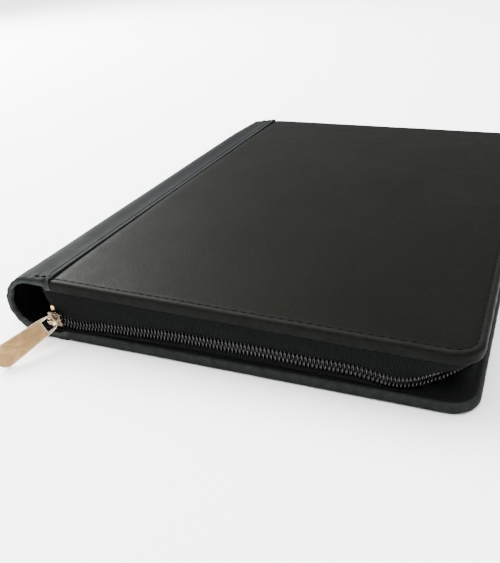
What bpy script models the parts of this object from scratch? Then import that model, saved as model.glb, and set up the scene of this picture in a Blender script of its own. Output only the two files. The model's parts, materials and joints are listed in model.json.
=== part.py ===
"""A zip-round portfolio case, closed and lying on its back cover.

Metres, +Z up. +Y runs along the spine and +X from the spine to the fore edge.
The origin is the centre of the back cover's underside.

The soft spine is four slats between five hinge lines, which all turn together
when the front cover opens. The zip runs round the three other sides, and its
slider closes it towards the near end of the spine.
"""
import math

import bmesh
import bpy
from mathutils import Matrix, Vector

# The closed case.
WIDTH = 0.260            # from the spine to the fore edge
LENGTH = 0.340           # along the spine
HEIGHT = 0.038           # over both covers at the spine
FORE_HEIGHT = 0.0323     # over both covers at the fore edge
CORNER_RADIUS = 0.014    # the covers' corners at the fore edge
GAP = 0.0003             # clearance between pieces that touch

# The layers of a cover.
LEATHER = 0.0015
BOARD = 0.0026
LINING = 0.0011

# The seams where the spine leather laps over each panel, from the spine.
FRONT_SEAM = 0.034
BACK_SEAM = 0.039

# The zip.
ZIP_INSET = 0.004        # the coils' centre line, in from the covers' edges
ZIP_HEIGHT = 0.013       # where the two coils meet, above the table
ZIP_START = 0.0245       # the tapes' ends, from the spine
TAPE = 0.0008            # thickness of a tape
COIL_THICK = 0.0018
COIL_TALL = 0.0025       # one coil, across the zip
COIL_SPLIT = 0.0014      # the space between the two coils
STOP_LONG = 0.0024
STOP_THICK = 0.0030
CORNER_STEPS = 6         # flats round one corner of a cover or a tape

# The slider.
SLIDER_LONG = 0.010
SLIDER_WIDE = 0.0094     # across the zip, at its leading end
SLIDER_TAIL = 0.0072     # across the zip, at its trailing end
SLIDER_PLATE = 0.0009
SLIDER_YAW = math.radians(10)     # its face turned a little towards the spine
SLIDER_DROOP = math.radians(10)   # and a little down, under the pull's weight
SLIDER_CLEAR = 0.0001    # least room beside the coils
POST_TALL = 0.0006
POST_LONG = 0.0030
BRIDGE_OPEN = 0.0044     # the opening under the bridge, along the zip
BRIDGE_HIGH = 0.0026     # the opening under the bridge, off the plate
BRIDGE_BAR = 0.0010
BRIDGE_WIDE = 0.0022

# The pull tab.
PULL_LONG = 0.0385
PULL_THICK = 0.0014
PULL_NECK = 0.0086       # width at the ring
PULL_SHOULDER = 0.0101   # width below the window
PULL_FOOT = 0.0130       # width at the free end
PULL_BAR = 0.0014        # the bar that turns under the bridge
PULL_WINDOW_LONG = 0.0056
PULL_WINDOW_WIDE = 0.0066
PULL_TIP = 0.0050        # length of the rounded tip
PULL_ROLL = math.radians(-31)     # the hinge line, leaning towards the spine
PULL_SWING = math.radians(20)     # from straight out, towards the spine

# The inside.
POCKET_WALL = 0.0012
HEM = 0.0030
PAD_SLEEVE_DEPTH = 0.0020
PAD_SLEEVE_LONG = 0.110
DOCUMENT_POCKET_DEPTH = 0.0065
DOCUMENT_POCKET_LONG = 0.230
POCKET_MARGIN = 0.014    # from the pockets to the covers' edges
CARD_LONG = 0.094
CARD_WIDE = 0.058
CARD_STEP = 0.014
CARD_THICK = 0.0008
CARD_POCKETS = 3
PEN_BORE = 0.0110
PEN_LOOP_WALL = 0.0012
PEN_LOOP_LONG = 0.030
PEN_LOOP_FROM_HINGE = 0.008

# What follows from the sizes above.
SLATS = 4
COVER = LEATHER + BOARD + LINING + 2 * GAP
PIVOT = LEATHER + GAP / 2         # from a cover's outer face in to its hinge line
TILT = math.atan2(HEIGHT - FORE_HEIGHT, WIDTH)
FOLD = (math.pi + TILT) / (SLATS + 1)
SLAT = (HEIGHT - 2 * PIVOT) / sum(math.sin(n * FOLD) for n in range(1, SLATS + 1))
COIL_LOW = ZIP_HEIGHT - COIL_SPLIT / 2 - COIL_TALL
COIL_HIGH = ZIP_HEIGHT + COIL_SPLIT / 2 + COIL_TALL


def hinge_lines():
    """Each hinge line's x and z, and the direction of what it carries, from the back cover up."""
    x, z = 0.0, PIVOT
    lines = []
    for n in range(1, SLATS + 2):
        direction = math.pi - n * FOLD
        lines.append((x, z, direction))
        x += SLAT * math.cos(direction)
        z += SLAT * math.sin(direction)
    shift = PIVOT - WIDTH / 2 - min(x for x, z, direction in lines)
    return [(x + shift, z, direction) for x, z, direction in lines]


HINGES = hinge_lines()
BACK_HINGE_X = HINGES[0][0]
FRONT_HINGE_X = HINGES[-1][0]
FRONT_HINGE_Z = HINGES[-1][1]


# Making things.

def clear_scene():
    for item in list(bpy.data.objects):
        bpy.data.objects.remove(item, do_unlink=True)


def material(name, colour, roughness, metallic=0.0):
    made = bpy.data.materials.new(name)
    made.use_nodes = True
    shader = made.node_tree.nodes["Principled BSDF"]
    shader.inputs["Base Color"].default_value = (*colour, 1.0)
    shader.inputs["Roughness"].default_value = roughness
    shader.inputs["Metallic"].default_value = metallic
    return made


def frame(name, matrix):
    """An empty on a joint's axis, which carries the pieces that turn or slide there."""
    empty = bpy.data.objects.new(name, None)
    bpy.context.scene.collection.objects.link(empty)
    empty.matrix_world = matrix
    return empty


def piece(name, shape, finish, carrier):
    """An object from a bmesh in its carrier's own axes."""
    bmesh.ops.recalc_face_normals(shape, faces=shape.faces)
    mesh = bpy.data.meshes.new(name)
    shape.to_mesh(mesh)
    shape.free()
    made = bpy.data.objects.new(name, mesh)
    bpy.context.scene.collection.objects.link(made)
    if finish:
        mesh.materials.append(material(name, *finish))
    made.parent = carrier
    return made


def pushed(name, outline, push, finish=None, carrier=None):
    """A flat outline of 3-D points, pushed along a vector into a closed solid."""
    shape = bmesh.new()
    face = shape.faces.new([shape.verts.new(point) for point in outline])
    swept = bmesh.ops.extrude_face_region(shape, geom=[face])["geom"]
    ends = [item for item in swept if isinstance(item, bmesh.types.BMVert)]
    bmesh.ops.translate(shape, verts=ends, vec=push)
    return piece(name, shape, finish, carrier)


def slab(name, outline, low, high, finish=None, carrier=None):
    """A flat piece with an x, y outline, between two heights."""
    points = [(x, y, low) for x, y in outline]
    return pushed(name, points, (0, 0, high - low), finish, carrier)


def beam(name, outline, start, end, finish=None, carrier=None):
    """A piece with an x, z outline, between two places along y."""
    points = [(x, start, z) for x, z in outline]
    return pushed(name, points, (0, end - start, 0), finish, carrier)


def rectangle(low_x, high_x, low_y, high_y):
    return [(low_x, low_y), (high_x, low_y), (high_x, high_y), (low_x, high_y)]


def arc(centre_x, centre_y, radius, start, end, steps):
    """Points along an arc, its angles in degrees."""
    angles = [math.radians(start + (end - start) * n / steps) for n in range(steps + 1)]
    return [(centre_x + radius * math.cos(a), centre_y + radius * math.sin(a)) for a in angles]


def round_cornered(low_x, high_x, half_y, radius):
    """A rectangle whose two corners at high_x are round."""
    x, y = high_x - radius, half_y - radius
    near = arc(x, -y, radius, -90, 0, CORNER_STEPS)
    far = arc(x, y, radius, 0, 90, CORNER_STEPS)
    return [(low_x, -half_y), *near, *far, (low_x, half_y)]


def boolean(target, tool, operation):
    step = target.modifiers.new(operation.lower(), "BOOLEAN")
    step.operation = operation
    step.solver = "EXACT"
    step.object = tool
    tool.parent = target.parent
    tool.hide_render = True
    tool.display_type = "WIRE"


# The covers. Depth is measured in from a cover's outer face.

class Cover:
    """One cover: its name, its carrier, its reach from the hinge line, and which way in is."""

    def __init__(self, name, carrier, reach, seam, inward):
        self.name = name
        self.carrier = carrier
        self.reach = reach
        self.seam = seam
        self.inward = inward

    def level(self, depth):
        return self.inward * (depth - PIVOT)

    def slab(self, part, outline, depth, thickness, finish=None):
        low, high = sorted((self.level(depth), self.level(depth + thickness)))
        name = f"{self.name}_{part}"
        return slab(name, outline, low, high, finish, self.carrier)


def leather_panel(cover):
    """The cover's leather, turned up round the board's three free edges."""
    half = LENGTH / 2
    outline = round_cornered(cover.seam + GAP / 2, cover.reach, half, CORNER_RADIUS)
    panel = cover.slab("leather", outline, 0, COVER, LEATHER_FINISH)
    recess = round_cornered(0, cover.reach - LEATHER, half - LEATHER, CORNER_RADIUS - LEATHER)
    boolean(panel, cover.slab("leather_recess", recess, LEATHER, COVER), "DIFFERENCE")


def spine_strip(cover):
    """The end of the spine leather, which laps over the cover as far as the seam."""
    half = LENGTH / 2
    outline = rectangle(GAP / 2, cover.seam - GAP / 2, -half, half)
    strip = cover.slab("spine_strip", outline, 0, COVER, LEATHER_FINISH)
    recess = rectangle(0, cover.seam, LEATHER - half, half - LEATHER)
    boolean(strip, cover.slab("strip_recess", recess, LEATHER, COVER), "DIFFERENCE")


def board_and_lining(cover):
    inset = LEATHER + GAP
    half = LENGTH / 2 - inset
    outline = round_cornered(GAP, cover.reach - inset, half, CORNER_RADIUS - inset)
    cover.slab("board", outline, inset, BOARD, BOARD_FINISH)
    cover.slab("lining", outline, inset + BOARD + GAP, LINING, LINING_FINISH)


def pocket(cover, part, outline, slot, depth, finish):
    """A flap on the lining, hemmed down on three sides and open on the fourth."""
    start = COVER + GAP
    flap = cover.slab(part, outline, start, depth + POCKET_WALL, finish)
    boolean(flap, cover.slab(f"{part}_slot", slot, start - GAP, GAP + depth), "DIFFERENCE")


def pad_sleeve(cover):
    """The sleeve that takes a writing pad's backing card, open towards +Y."""
    low_x, high_x = POCKET_MARGIN + PEN_LOOP_FROM_HINGE + PEN_BORE, cover.reach - POCKET_MARGIN
    low_y = POCKET_MARGIN - LENGTH / 2
    high_y = low_y + PAD_SLEEVE_LONG
    outline = rectangle(low_x, high_x, low_y, high_y)
    slot = rectangle(low_x + HEM, high_x - HEM, low_y + HEM, high_y + GAP)
    pocket(cover, "pad_sleeve", outline, slot, PAD_SLEEVE_DEPTH, LEATHER_FINISH)


def document_pocket(cover):
    """The full-width pocket inside the front cover, open towards +Y."""
    low_x, high_x = POCKET_MARGIN, cover.reach - POCKET_MARGIN
    low_y = POCKET_MARGIN - LENGTH / 2
    high_y = low_y + DOCUMENT_POCKET_LONG
    outline = rectangle(low_x, high_x, low_y, high_y)
    slot = rectangle(low_x + HEM, high_x - HEM, low_y + HEM, high_y + GAP)
    pocket(cover, "document_pocket", outline, slot, DOCUMENT_POCKET_DEPTH, LINING_FINISH)


def card_pockets(cover):
    """Card pockets in steps on the document pocket, each over the one before."""
    depth = COVER + GAP + DOCUMENT_POCKET_DEPTH + POCKET_WALL + GAP
    low_x = cover.reach / 2 - CARD_LONG / 2
    low_y = 2 * POCKET_MARGIN - LENGTH / 2
    for n in range(CARD_POCKETS):
        high_y = low_y + CARD_WIDE + (CARD_POCKETS - 1 - n) * CARD_STEP
        outline = rectangle(low_x, low_x + CARD_LONG, low_y, high_y)
        cover.slab(f"card_pocket_{n + 1}", outline, depth, CARD_THICK, LEATHER_FINISH)
        depth += CARD_THICK + GAP


def pen_loop(cover):
    """The loop beside the spine for a pen, on the back cover's lining."""
    middle_x = PEN_LOOP_FROM_HINGE + PEN_BORE / 2 + PEN_LOOP_WALL
    middle_z = cover.level(COVER + GAP) + PEN_BORE / 2 + PEN_LOOP_WALL
    outer = arc(middle_x, middle_z, PEN_BORE / 2 + PEN_LOOP_WALL, 0, 330, 11)
    inner = arc(middle_x, middle_z, PEN_BORE / 2, 0, 330, 11)
    end = PEN_LOOP_LONG / 2
    loop = beam("pen_loop", outer, -end, end, LEATHER_FINISH, cover.carrier)
    boolean(loop, beam("pen_loop_bore", inner, -end - GAP, end + GAP), "DIFFERENCE")


# The spine.

def spine(carriers):
    """The slats, outer leather and inner lining, each in the axes of its own hinge line."""
    half = LENGTH / 2
    mitre = (LINING + GAP / 2) * math.tan(FOLD / 2)
    for n, carrier in enumerate(carriers, 1):
        start, end = GAP / 2, SLAT - GAP / 2
        leather = [(start, GAP / 2), (end, GAP / 2), (end, PIVOT), (start, PIVOT)]
        beam(f"spine_leather_{n}", leather, -half, half, LEATHER_FINISH, carrier)
        top, base = -GAP / 2, -GAP / 2 - LINING
        lining = [(start, top), (start + mitre, base), (end - mitre, base), (end, top)]
        beam(f"spine_lining_{n}", lining, LEATHER - half, half - LEATHER, LINING_FINISH, carrier)


# The zip. Its path and heights are in world axes.

def zip_path(start_x, end_x):
    """Points and outward directions along the zip, near side, fore edge, far side."""
    radius = CORNER_RADIUS - ZIP_INSET
    x = WIDTH / 2 - CORNER_RADIUS
    y = LENGTH / 2 - CORNER_RADIUS
    path = [((start_x, -y - radius), (0, -1))]
    for centre_y, start in ((-y, -90), (y, 0)):
        around = arc(x, centre_y, radius, start, start + 90, CORNER_STEPS)
        outward = arc(0, 0, 1, start, start + 90, CORNER_STEPS)
        path += zip(around, outward)
    path.append(((end_x, y + radius), (0, 1)))
    return path


def ribbon(name, path, thickness, low, high, finish, carrier):
    """An upright band along a path; low and high give its edges' heights at a given x."""
    shape = bmesh.new()
    rings = []
    for (x, y), (out_x, out_y) in path:
        ring = []
        for side, height in ((-1, low), (1, low), (1, high), (-1, high)):
            shift = side * thickness / 2
            place = x + shift * out_x
            ring.append(shape.verts.new((place, y + shift * out_y, height(place))))
        rings.append(ring)
    for ring, following in zip(rings, rings[1:]):
        for n in range(4):
            m = (n + 1) % 4
            shape.faces.new((ring[n], ring[m], following[m], following[n]))
    shape.faces.new(rings[0])
    shape.faces.new(rings[-1])
    made = piece(name, shape, finish, carrier)
    made.matrix_parent_inverse = carrier.matrix_world.inverted()


def level_line(height):
    return lambda x: height


def under_front_cover(x):
    """The height of the front cover's inner face."""
    inner = FRONT_HINGE_Z - (COVER - PIVOT) / math.cos(TILT)
    return inner - (x - FRONT_HINGE_X) * math.tan(TILT)


def tapes_and_coils(back, front):
    start = ZIP_START - WIDTH / 2
    tape_path = zip_path(start, start)
    coil_start = start + STOP_LONG + 2 * GAP
    coil_path = zip_path(coil_start, coil_start)
    low, high = level_line(COVER + GAP), level_line(COIL_LOW - GAP)
    ribbon("back_zip_tape", tape_path, TAPE, low, high, TAPE_FINISH, back)
    low, high = level_line(COIL_LOW), level_line(COIL_LOW + COIL_TALL)
    ribbon("back_zip_coil", coil_path, COIL_THICK, low, high, COIL_FINISH, back)
    low, high = level_line(COIL_HIGH - COIL_TALL), level_line(COIL_HIGH)
    ribbon("front_zip_coil", coil_path, COIL_THICK, low, high, COIL_FINISH, front)
    low = level_line(COIL_HIGH + GAP)
    ribbon("front_zip_tape", tape_path, TAPE, low, lambda x: under_front_cover(x) - GAP,
           TAPE_FINISH, front)


def stop(name, side_y, low, carrier):
    """A metal stop at the end of one coil."""
    start = ZIP_START - WIDTH / 2 + GAP
    path = [((start, side_y), (0, -1)), ((start + STOP_LONG, side_y), (0, -1))]
    high = level_line(low + COIL_TALL)
    ribbon(name, path, STOP_THICK, level_line(low), high, METAL_FINISH, carrier)


# The slider and its pull tab.

def slider_room():
    """Half the slider's channel: its coils, and what the slider's lean takes up."""
    lean = SLIDER_LONG / 2 * math.sin(SLIDER_YAW)
    lean += (COIL_HIGH - ZIP_HEIGHT) * math.sin(SLIDER_DROOP)
    return COIL_THICK / 2 + lean + SLIDER_CLEAR


def slider_place():
    x = ZIP_START - WIDTH / 2 + STOP_LONG + 2 * GAP + SLIDER_LONG / 2
    place = Matrix.Translation((x, ZIP_INSET - LENGTH / 2, ZIP_HEIGHT))
    yaw = Matrix.Rotation(-SLIDER_YAW, 4, "Z")
    return place @ yaw @ Matrix.Rotation(SLIDER_DROOP, 4, "X")


def slider(carrier):
    """Two plates on a post, with the bridge on the outer plate; -Y faces out, -X leads."""
    room = slider_room()
    ahead, behind = -SLIDER_LONG / 2, SLIDER_LONG / 2
    taper = SLIDER_LONG / 4
    outline = [
        (ahead + taper / 2, -SLIDER_WIDE / 2),
        (ahead + 2 * taper, -SLIDER_WIDE / 2),
        (behind, -SLIDER_TAIL / 2),
        (behind, SLIDER_TAIL / 2),
        (ahead + 2 * taper, SLIDER_WIDE / 2),
        (ahead + taper / 2, SLIDER_WIDE / 2),
        (ahead, SLIDER_WIDE / 2 - taper),
        (ahead, taper - SLIDER_WIDE / 2),
    ]
    face = -room - SLIDER_PLATE
    body = beam("slider_body", outline, face, -room, METAL_FINISH, carrier)
    inner = beam("slider_inner_plate", outline, room, room + SLIDER_PLATE)
    boolean(body, inner, "UNION")
    ends = room + SLIDER_PLATE / 2
    post_start = ahead + POST_TALL
    post = [
        (post_start, -POST_TALL / 2),
        (post_start + POST_LONG, -POST_TALL / 2),
        (post_start + POST_LONG, POST_TALL / 2),
        (post_start, POST_TALL / 2),
    ]
    boolean(body, beam("slider_post", post, -ends, ends), "UNION")
    foot = face + SLIDER_PLATE / 2
    top = face - BRIDGE_HIGH - BRIDGE_BAR
    outer, opening = BRIDGE_OPEN / 2 + BRIDGE_BAR, BRIDGE_OPEN / 2
    arch = [
        (-outer, foot),
        (-outer, top + BRIDGE_BAR),
        (-opening, top),
        (opening, top),
        (outer, top + BRIDGE_BAR),
        (outer, foot),
        (opening, foot),
        (opening, face - BRIDGE_HIGH),
        (-opening, face - BRIDGE_HIGH),
        (-opening, foot),
    ]
    boolean(body, slab("slider_bridge", arch, -BRIDGE_WIDE / 2, BRIDGE_WIDE / 2), "UNION")


def pull_place():
    """The pull's axes: its own X out along the tab, its own Z along the hinge line."""
    off_plate = slider_room() + SLIDER_PLATE + BRIDGE_HIGH / 2
    pivot = slider_place() @ Vector((0, -off_plate, 0))
    roll = Matrix.Rotation(PULL_ROLL, 4, "Y")
    return Matrix.Translation(pivot) @ roll @ Matrix.Rotation(-PULL_SWING - math.pi / 2, 4, "Z")


def pull_tab(carrier):
    """A flat tab that widens to its tip, with a window for the bridge."""
    ring = -PULL_BAR / 2
    window_end = PULL_BAR / 2 + PULL_WINDOW_LONG
    tip_start = PULL_LONG + ring - PULL_TIP
    half = [
        (ring, PULL_NECK / 2 - PULL_BAR),
        (ring + PULL_BAR, PULL_NECK / 2),
        (window_end, PULL_SHOULDER / 2),
        (tip_start, PULL_FOOT / 2),
        (tip_start + PULL_TIP * 0.7, PULL_FOOT / 2 - PULL_TIP * 0.25),
        (tip_start + PULL_TIP, PULL_FOOT / 2 - PULL_TIP * 0.7),
    ]
    profile = half + [(x, -z) for x, z in reversed(half)]
    tab = beam("pull_tab", profile, -PULL_THICK / 2, PULL_THICK / 2, METAL_FINISH, carrier)
    side = PULL_WINDOW_WIDE / 2
    window = [
        (PULL_BAR / 2, -side),
        (window_end, -side),
        (window_end, side),
        (PULL_BAR / 2, side),
    ]
    boolean(tab, beam("pull_window", window, -PULL_THICK, PULL_THICK), "DIFFERENCE")


LEATHER_FINISH = ((0.020, 0.021, 0.018), 0.45)
BOARD_FINISH = ((0.30, 0.27, 0.22), 0.85)
LINING_FINISH = ((0.030, 0.031, 0.033), 0.80)
TAPE_FINISH = ((0.012, 0.012, 0.013), 0.90)
COIL_FINISH = ((0.010, 0.010, 0.011), 0.35)
METAL_FINISH = ((0.78, 0.60, 0.40), 0.28, 1.0)


def build():
    clear_scene()
    carriers = []
    for n, (x, z, direction) in enumerate(HINGES, 1):
        turn = Matrix.Rotation(-direction, 4, "Y")
        carriers.append(frame(f"hinge_{n}", Matrix.Translation((x, 0, z)) @ turn))
    back_frame = frame("back_frame", Matrix.Translation((BACK_HINGE_X, 0, PIVOT)))
    front_frame = carriers.pop()

    fore = WIDTH / 2
    hinge_in = BACK_HINGE_X + fore
    back = Cover("back", back_frame, fore - BACK_HINGE_X, BACK_SEAM - hinge_in, 1)
    front_reach = (fore - FRONT_HINGE_X) / math.cos(TILT)
    front = Cover("front", front_frame, front_reach, FRONT_SEAM - hinge_in, -1)
    for cover in (back, front):
        leather_panel(cover)
        spine_strip(cover)
        board_and_lining(cover)
    pad_sleeve(back)
    pen_loop(back)
    document_pocket(front)
    card_pockets(front)

    spine(carriers)

    tapes_and_coils(back_frame, front_frame)
    near, far = ZIP_INSET - LENGTH / 2, LENGTH / 2 - ZIP_INSET
    stop("back_top_stop", near, COIL_LOW, back_frame)
    stop("front_top_stop", near, COIL_HIGH - COIL_TALL, front_frame)
    stop("bottom_stop", far, COIL_LOW, back_frame)

    slider(frame("slider_frame", slider_place()))
    pull_tab(frame("pull_frame", pull_place()))


build()
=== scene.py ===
"""The looks of a zip-round leather portfolio case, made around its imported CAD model.

Metres, +Z up. +Y runs along the spine and +X from the spine to the fore edge.
The case lies closed on its back cover, with its near end towards -Y.
"""

import json
import math

import bmesh
import bpy
import numpy as np
from mathutils import Matrix, Vector, noise


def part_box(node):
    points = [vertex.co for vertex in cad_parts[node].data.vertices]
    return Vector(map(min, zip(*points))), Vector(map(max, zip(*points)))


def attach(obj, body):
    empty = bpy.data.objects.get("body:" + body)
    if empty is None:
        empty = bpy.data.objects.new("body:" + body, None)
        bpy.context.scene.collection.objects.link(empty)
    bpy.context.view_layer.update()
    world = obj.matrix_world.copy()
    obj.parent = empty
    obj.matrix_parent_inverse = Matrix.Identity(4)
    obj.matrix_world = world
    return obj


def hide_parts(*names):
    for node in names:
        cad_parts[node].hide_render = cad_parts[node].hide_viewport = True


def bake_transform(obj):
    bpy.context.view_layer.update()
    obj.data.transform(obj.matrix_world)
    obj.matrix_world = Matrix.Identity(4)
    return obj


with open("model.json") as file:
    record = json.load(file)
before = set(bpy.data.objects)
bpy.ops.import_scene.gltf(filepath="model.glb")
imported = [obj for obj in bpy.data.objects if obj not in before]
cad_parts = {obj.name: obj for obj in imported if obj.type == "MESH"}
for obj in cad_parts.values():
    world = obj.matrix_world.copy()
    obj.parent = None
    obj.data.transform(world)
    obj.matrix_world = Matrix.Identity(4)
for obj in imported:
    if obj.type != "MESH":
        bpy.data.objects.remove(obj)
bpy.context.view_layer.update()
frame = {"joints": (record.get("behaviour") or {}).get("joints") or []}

MM = 0.001
WAVE_PERIOD = math.pi / 10   # metres between bands, of a wave texture whose scale is 1
JOINTS = {joint["name"]: joint for joint in frame["joints"]}

# The case, as the frame has it.
BACK_HINGE = Vector(JOINTS["spine_fold_1"]["pos_m"])
FRONT_HINGE = Vector(JOINTS["spine_fold_5"]["pos_m"])
HINGES = [Vector(JOINTS[f"spine_fold_{n}"]["pos_m"]) for n in range(1, 6)]
PIVOT = BACK_HINGE.z
TILT = math.radians(5 * JOINTS["spine_fold_5"]["range_deg"][1] - 180)
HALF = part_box("back_leather")[1].y
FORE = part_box("back_leather")[1].x
SPINE_X = -FORE
HEIGHT = FRONT_HINGE.z + PIVOT
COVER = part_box("back_leather")[1].z
CORNER = 14 * MM

# The zip, as the frame has it.
ZIP_Y = -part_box("back_top_stop")[0].lerp(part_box("back_top_stop")[1], 0.5).y
ZIP_INSET = HALF - ZIP_Y
COIL_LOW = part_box("back_zip_coil")[0].z
COIL_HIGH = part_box("front_zip_coil")[1].z
ZIP_MIDDLE = (COIL_LOW + COIL_HIGH) / 2
TAPE_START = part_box("back_zip_tape")[0].x
COIL_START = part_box("back_zip_coil")[0].x

# The camera: its place, its turn and its lens.
CAMERA_PLACE = (0.1420, -0.4116, 0.1948)
CAMERA_TURN = (62.28, 4.33, 23.42)
CAMERA_LENS = 42.12


# Materials.

class Finish:
    """A material under construction: a Principled shader and the nodes that feed it."""

    def __init__(self, name, colour, roughness, metallic=0.0, **sockets):
        self.material = bpy.data.materials.new(name)
        self.material.use_nodes = True
        self.tree = self.material.node_tree
        self.shader = self.tree.nodes["Principled BSDF"]
        self.shader.inputs["Base Color"].default_value = (*colour, 1)
        self.shader.inputs["Roughness"].default_value = roughness
        self.shader.inputs["Metallic"].default_value = metallic
        for socket, value in sockets.items():
            self.shader.inputs[socket.replace("_", " ")].default_value = value

    def feed(self, socket, value):
        """Links a socket to another node's output, or sets it to a constant."""
        if isinstance(value, bpy.types.NodeSocket):
            self.tree.links.new(value, socket)
        else:
            socket.default_value = value

    def node(self, kind, links=(), **settings):
        made = self.tree.nodes.new(kind)
        for setting, value in settings.items():
            setattr(made, setting, value)
        for socket, value in links:
            self.feed(made.inputs[socket], value)
        return made

    def place(self, stretch=(1, 1, 1), along="Object"):
        where = self.node("ShaderNodeTexCoord").outputs[along]
        return self.node("ShaderNodeMapping", [("Vector", where), ("Scale", stretch)]).outputs[0]

    def noise(self, scale, detail=3, stretch=(1, 1, 1), along="Object"):
        links = [("Vector", self.place(stretch, along)), ("Scale", scale), ("Detail", detail)]
        return self.node("ShaderNodeTexNoise", links).outputs["Fac"]

    def cells(self, scale):
        links = [("Vector", self.place()), ("Scale", scale)]
        return self.node("ShaderNodeTexVoronoi", links, feature="SMOOTH_F1").outputs["Distance"]

    def bands(self, scale, axis, along="UV", profile="SIN"):
        links = [("Vector", self.place(along=along)), ("Scale", scale)]
        made = self.node("ShaderNodeTexWave", links, bands_direction=axis, wave_profile=profile)
        return made.outputs["Fac"]

    def spread(self, value, low, high, low_out=0.0, high_out=1.0):
        links = [("Value", value), ("From Min", low), ("From Max", high)]
        links += [("To Min", low_out), ("To Max", high_out)]
        return self.node("ShaderNodeMapRange", links).outputs["Result"]

    def join(self, a, b, operation="ADD", clamp=False):
        made = self.node("ShaderNodeMath", operation=operation, use_clamp=clamp)
        for socket, value in zip(made.inputs, (a, b)):
            self.feed(socket, value)
        return made.outputs[0]

    def blend(self, share, first, second):
        """A colour between two, each a colour or another blend."""
        made = self.node("ShaderNodeMix", [("Factor", share)], data_type="RGBA")
        for socket, value in zip((made.inputs[6], made.inputs[7]), (first, second)):
            self.feed(socket, (*value, 1) if isinstance(value, tuple) else value)
        return made.outputs[2]

    def colour(self, socket):
        self.tree.links.new(socket, self.shader.inputs["Base Color"])

    def roughness(self, socket):
        self.tree.links.new(socket, self.shader.inputs["Roughness"])

    def bump(self, height, depth, strength=1.0):
        links = [("Height", height), ("Distance", depth), ("Strength", strength)]
        normal = self.node("ShaderNodeBump", links).outputs["Normal"]
        self.tree.links.new(normal, self.shader.inputs["Normal"])


def leather(name, dark, light, worn_and_lit, roughness, shine, tint):
    """Smooth black leather: fine grain, cloudy colour, and paler by a per-vertex channel: where it
    is turned or rubbed, and also as painted highlight on lit edges and ridges.
    """
    made = Finish(name, dark, roughness, Specular_IOR_Level=shine, Specular_Tint=(*tint, 1))
    cloud = made.spread(made.noise(22, 4), 0.35, 0.65)
    fleck = made.spread(made.noise(900, 2), 0.35, 0.70)
    base = made.blend(made.join(cloud, fleck, "MULTIPLY"), dark, light)
    wear_and_painted_light = made.node("ShaderNodeAttribute", attribute_name="wear_and_painted_light").outputs["Fac"]
    patches = made.spread(made.noise(260, 4), 0.30, 0.75, 0.55, 1.0)
    # Paling from the per-vertex channel: real rubbing plus painted highlight.
    rubbed_and_lit = made.join(wear_and_painted_light, patches, "MULTIPLY", True)
    made.colour(made.blend(rubbed_and_lit, base, worn_and_lit))
    grain = made.join(made.cells(1300), made.join(made.noise(600, 4), 1.2, "MULTIPLY"))
    creases = made.join(made.noise(110, 4, (1.0, 0.45, 1.0)), 1.3, "MULTIPLY")
    made.bump(made.join(grain, creases), 0.10 * MM, 0.75)
    made.roughness(made.spread(made.noise(90, 5), 0.3, 0.7, roughness - 0.04, roughness + 0.06))
    return made.material


def woven_tape(name):
    """Zip tape: fine ribs across the tape, in rows, with a little fluff."""
    made = Finish(name, (0.010, 0.010, 0.011), 0.85, Specular_IOR_Level=0.03)
    ribs = made.bands(WAVE_PERIOD / (1.0 * MM), "X")
    rows = made.bands(WAVE_PERIOD / (0.75 * MM), "Y")
    weave = made.join(ribs, made.join(rows, 0.55, "MULTIPLY"))
    weave = made.join(weave, made.noise(2500, 2), "MULTIPLY")
    shade = made.spread(weave, 0.1, 0.8)
    made.colour(made.blend(shade, (0.0005, 0.0005, 0.0005), (0.0110, 0.0116, 0.0114)))
    made.bump(weave, 0.25 * MM, 0.9)
    return made.material


def nylon(name):
    """Coil monofilament: glossy black, with the odd fine scuff."""
    made = Finish(name, (0.002, 0.002, 0.002), 0.16, Specular_IOR_Level=0.45)
    scuff = made.noise(1200, 3)
    made.roughness(made.spread(scuff, 0.35, 0.75, 0.11, 0.30))
    made.bump(made.noise(3000, 2), 0.01 * MM, 0.3)
    return made.material


def gilt(name, colour, roughness):
    """Satin gold plate, brushed along the tab, with faint tarnish."""
    made = Finish(name, colour, roughness, 1.0, Anisotropic=0.3)
    brush = made.noise(900, 3, (1.0, 0.12, 1.0))
    tarnish = made.spread(made.noise(160, 4), 0.35, 0.75)
    dull = tuple(0.78 * part for part in colour)
    made.colour(made.blend(tarnish, colour, dull))
    made.roughness(made.spread(brush, 0.3, 0.7, roughness - 0.06, roughness + 0.12))
    made.bump(brush, 0.012 * MM, 0.5)
    return made.material


def twill(name, dark, light):
    """Lining cloth with a fine diagonal twill."""
    made = Finish(name, dark, 0.8, Specular_IOR_Level=0.05)
    diagonal = made.bands(550, "DIAGONAL", "Object")
    cross = made.bands(900, "Y", "Object")
    weave = made.join(diagonal, made.join(cross, 0.4, "MULTIPLY"))
    shade = made.spread(made.join(weave, made.noise(60, 3)), 0.4, 1.7)
    made.colour(made.blend(shade, dark, light))
    made.bump(weave, 0.12 * MM, 0.7)
    return made.material


def card(name):
    """Dark grey-brown board: pressed fibres."""
    made = Finish(name, (0.030, 0.027, 0.023), 0.88, Specular_IOR_Level=0.1)
    fibres = made.noise(500, 5, (1.0, 0.3, 1.0))
    shade = made.spread(fibres, 0.3, 0.7)
    made.colour(made.blend(shade, (0.020, 0.018, 0.015), (0.042, 0.038, 0.032)))
    made.bump(fibres, 0.05 * MM, 0.5)
    return made.material


def thread(name):
    """Twisted sewing thread."""
    made = Finish(name, (0.001, 0.001, 0.001), 0.7, Specular_IOR_Level=0.02)
    twist = made.noise(4000, 2)
    made.colour(made.blend(twist, (0.0006, 0.0006, 0.0006), (0.0022, 0.0022, 0.0020)))
    made.bump(twist, 0.05 * MM, 0.8)
    return made.material


def pale_floor(name):
    """A plain matt white table."""
    made = Finish(name, (0.80, 0.80, 0.80), 0.7, Specular_IOR_Level=0.2)
    made.colour(made.blend(made.noise(3, 2), (0.79, 0.79, 0.79), (0.81, 0.81, 0.81)))
    return made.material


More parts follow.
